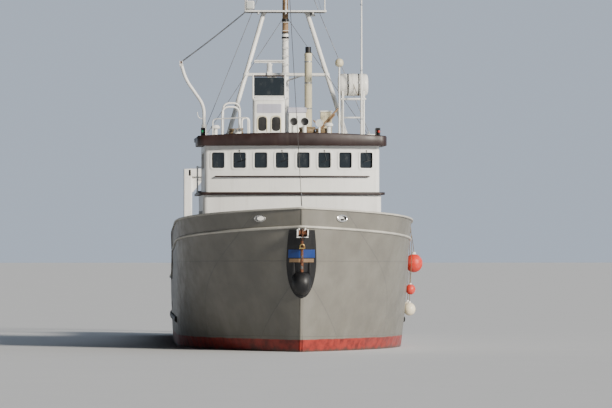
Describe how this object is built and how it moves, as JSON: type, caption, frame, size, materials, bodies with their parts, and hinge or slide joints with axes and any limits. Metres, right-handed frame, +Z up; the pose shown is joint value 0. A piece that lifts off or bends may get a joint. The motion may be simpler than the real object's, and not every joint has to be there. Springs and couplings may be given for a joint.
{
  "type": "fishing trawler",
  "caption": "Steel stern trawler with a forward wheelhouse, A-frame mast, boom, deck winches, net reel, stern ramp and gantry, with turning drums, doors, rudder and propeller.",
  "frame": {"origin": "on the centreline at half of the hull's length, at the height of the still water", "axes": "+Z up; -Y towards the bow; +X to the port side"},
  "size_m": [8.6484, 26.9639, 18.5],
  "materials": {
    "hull_paint": "weathered grey paint, red below the boot top",
    "white_paint": "white paint",
    "dark_trim": "dark maroon paint",
    "black_fittings": "black paint",
    "window_glass": "dark glass",
    "cream_paint": "cream paint",
    "galvanised_steel": "worn galvanised steel",
    "rusty_steel": "rust on worn paint",
    "deck_paint": "grey deck paint",
    "trawl_twine": "green netting twine",
    "bronze": "cast bronze",
    "red_fender": "orange-red inflated fender",
    "cream_fender": "cream inflated fender",
    "engine_paint": "green-grey engine paint"
  },
  "bodies": {
    "vessel": {"hull": "hull_paint", "forecastle": "hull_paint", "bulwark_bow": "hull_paint", "bulwark_port": "hull_paint", "bulwark_starboard": "hull_paint", "trunk": "white_paint", "wheelhouse": "white_paint", "mast": "white_paint", "flybridge_console": "white_paint", "life_raft": "white_paint", "raft_stand": "white_paint", "whip_antenna": "white_paint", "stern_gantry": "white_paint", "boat_deck": "dark_trim", "wheelhouse_roof": "dark_trim", "guard_port": "black_fittings", "guard_starboard": "black_fittings", "helm_console": "black_fittings", "helm_chair": "black_fittings", "anchor_pad": "black_fittings", "anchor": "black_fittings", "bitts_port": "black_fittings", "bitts_starboard": "black_fittings", "wheelhouse_glass": "window_glass", "wheelhouse_glass_aft": "window_glass", "flybridge_windscreen": "window_glass", "exhaust_stack": "cream_paint", "dome_antenna": "cream_paint", "bow_roller_bracket": "galvanised_steel", "windlass_frame": "galvanised_steel", "winch_frame_port": "galvanised_steel", "winch_frame_starboard": "galvanised_steel", "net_reel_frame": "galvanised_steel", "trawl_block_port": "galvanised_steel", "trawl_block_starboard": "galvanised_steel", "trawl_door_port": "rusty_steel", "trawl_door_starboard": "rusty_steel", "hatch_coaming": "deck_paint", "fender_red_large": "red_fender", "fender_red_small": "red_fender", "fender_cream_forward": "cream_fender", "fender_cream_aft": "cream_fender", "main_engine": "engine_paint"},
    "propeller": {"propeller": "bronze"},
    "rudder": {"rudder": "hull_paint"},
    "windlass_drum": {"windlass_drum": "rusty_steel"},
    "bow_roller": {"bow_roller": "rusty_steel"},
    "winch_drum_port": {"winch_drum_port": "rusty_steel"},
    "winch_drum_starboard": {"winch_drum_starboard": "rusty_steel"},
    "net_reel": {"net_reel": "galvanised_steel", "trawl_net": "trawl_twine"},
    "hatch_cover": {"hatch_cover": "white_paint"},
    "wheelhouse_door_port": {"wheelhouse_door_port": "white_paint"},
    "wheelhouse_door_starboard": {"wheelhouse_door_starboard": "white_paint"},
    "forecastle_door": {"forecastle_door": "white_paint"},
    "radar_scanner": {"radar_scanner": "white_paint"},
    "boom_gooseneck": {"boom_gooseneck": "galvanised_steel"},
    "boom": {"boom": "white_paint"},
    "davit": {"davit": "white_paint"},
    "ramp_gate": {"ramp_gate": "galvanised_steel"}
  },
  "joints": [
    {"name": "propeller_spin", "type": "hinge", "parent": "vessel", "child": "propeller", "pos_m": [0, 9.47, -2.3], "axis": [0, 1, 0], "continuous": true},
    {"name": "rudder_turn", "type": "hinge", "parent": "vessel", "child": "rudder", "pos_m": [0, 10.7, -2.2], "axis": [0, 0, 1], "range_deg": [-35, 35]},
    {"name": "windlass_spin", "type": "hinge", "parent": "vessel", "child": "windlass_drum", "pos_m": [0, -9.6, 4.3], "axis": [1, 0, 0], "continuous": true},
    {"name": "bow_roller_spin", "type": "hinge", "parent": "vessel", "child": "bow_roller", "pos_m": [0, -13.38, 3.96], "axis": [1, 0, 0], "continuous": true},
    {"name": "winch_port_spin", "type": "hinge", "parent": "vessel", "child": "winch_drum_port", "pos_m": [2.2, 1.8, 1.77], "axis": [1, 0, 0], "continuous": true},
    {"name": "winch_starboard_spin", "type": "hinge", "parent": "vessel", "child": "winch_drum_starboard", "pos_m": [-2.2, 1.8, 1.77], "axis": [1, 0, 0], "continuous": true},
    {"name": "net_reel_spin", "type": "hinge", "parent": "vessel", "child": "net_reel", "pos_m": [0, 7.7, 2.4], "axis": [1, 0, 0], "continuous": true},
    {"name": "hatch_cover_hinge", "type": "hinge", "parent": "vessel", "child": "hatch_cover", "pos_m": [0, 3.66, 1.785], "axis": [1, 0, 0], "range_deg": [0, 100]},
    {"name": "wheelhouse_door_port_hinge", "type": "hinge", "parent": "vessel", "child": "wheelhouse_door_port", "pos_m": [2.46, -1.266, 6.2], "axis": [0, 0, -1], "range_deg": [0, 100]},
    {"name": "wheelhouse_door_starboard_hinge", "type": "hinge", "parent": "vessel", "child": "wheelhouse_door_starboard", "pos_m": [-2.46, -1.266, 6.2], "axis": [0, 0, 1], "range_deg": [0, 100]},
    {"name": "forecastle_door_hinge", "type": "hinge", "parent": "vessel", "child": "forecastle_door", "pos_m": [-1.335, -0.166, 2.2], "axis": [0, 0, 1], "range_deg": [0, 100]},
    {"name": "radar_spin", "type": "hinge", "parent": "vessel", "child": "radar_scanner", "pos_m": [-0.6, -1.3031, 9.93], "axis": [0, 0, 1], "continuous": true},
    {"name": "boom_slew", "type": "hinge", "parent": "vessel", "child": "boom_gooseneck", "pos_m": [0, -0.22, 7.9], "axis": [0, 0, 1], "range_deg": [-70, 70]},
    {"name": "boom_luff", "type": "hinge", "parent": "boom_gooseneck", "child": "boom", "pos_m": [0, -0.02, 7.9], "axis": [1, 0, 0], "range_deg": [0, 50]},
    {"name": "davit_slew", "type": "hinge", "parent": "vessel", "child": "davit", "pos_m": [-2.95, -2.4, 7.7], "axis": [0, 0, 1], "range_deg": [-60, 60]},
    {"name": "ramp_gate_fold", "type": "hinge", "parent": "vessel", "child": "ramp_gate", "pos_m": [0, 9.95, 1.215], "axis": [1, 0, 0], "range_deg": [0, 88]}
  ]
}
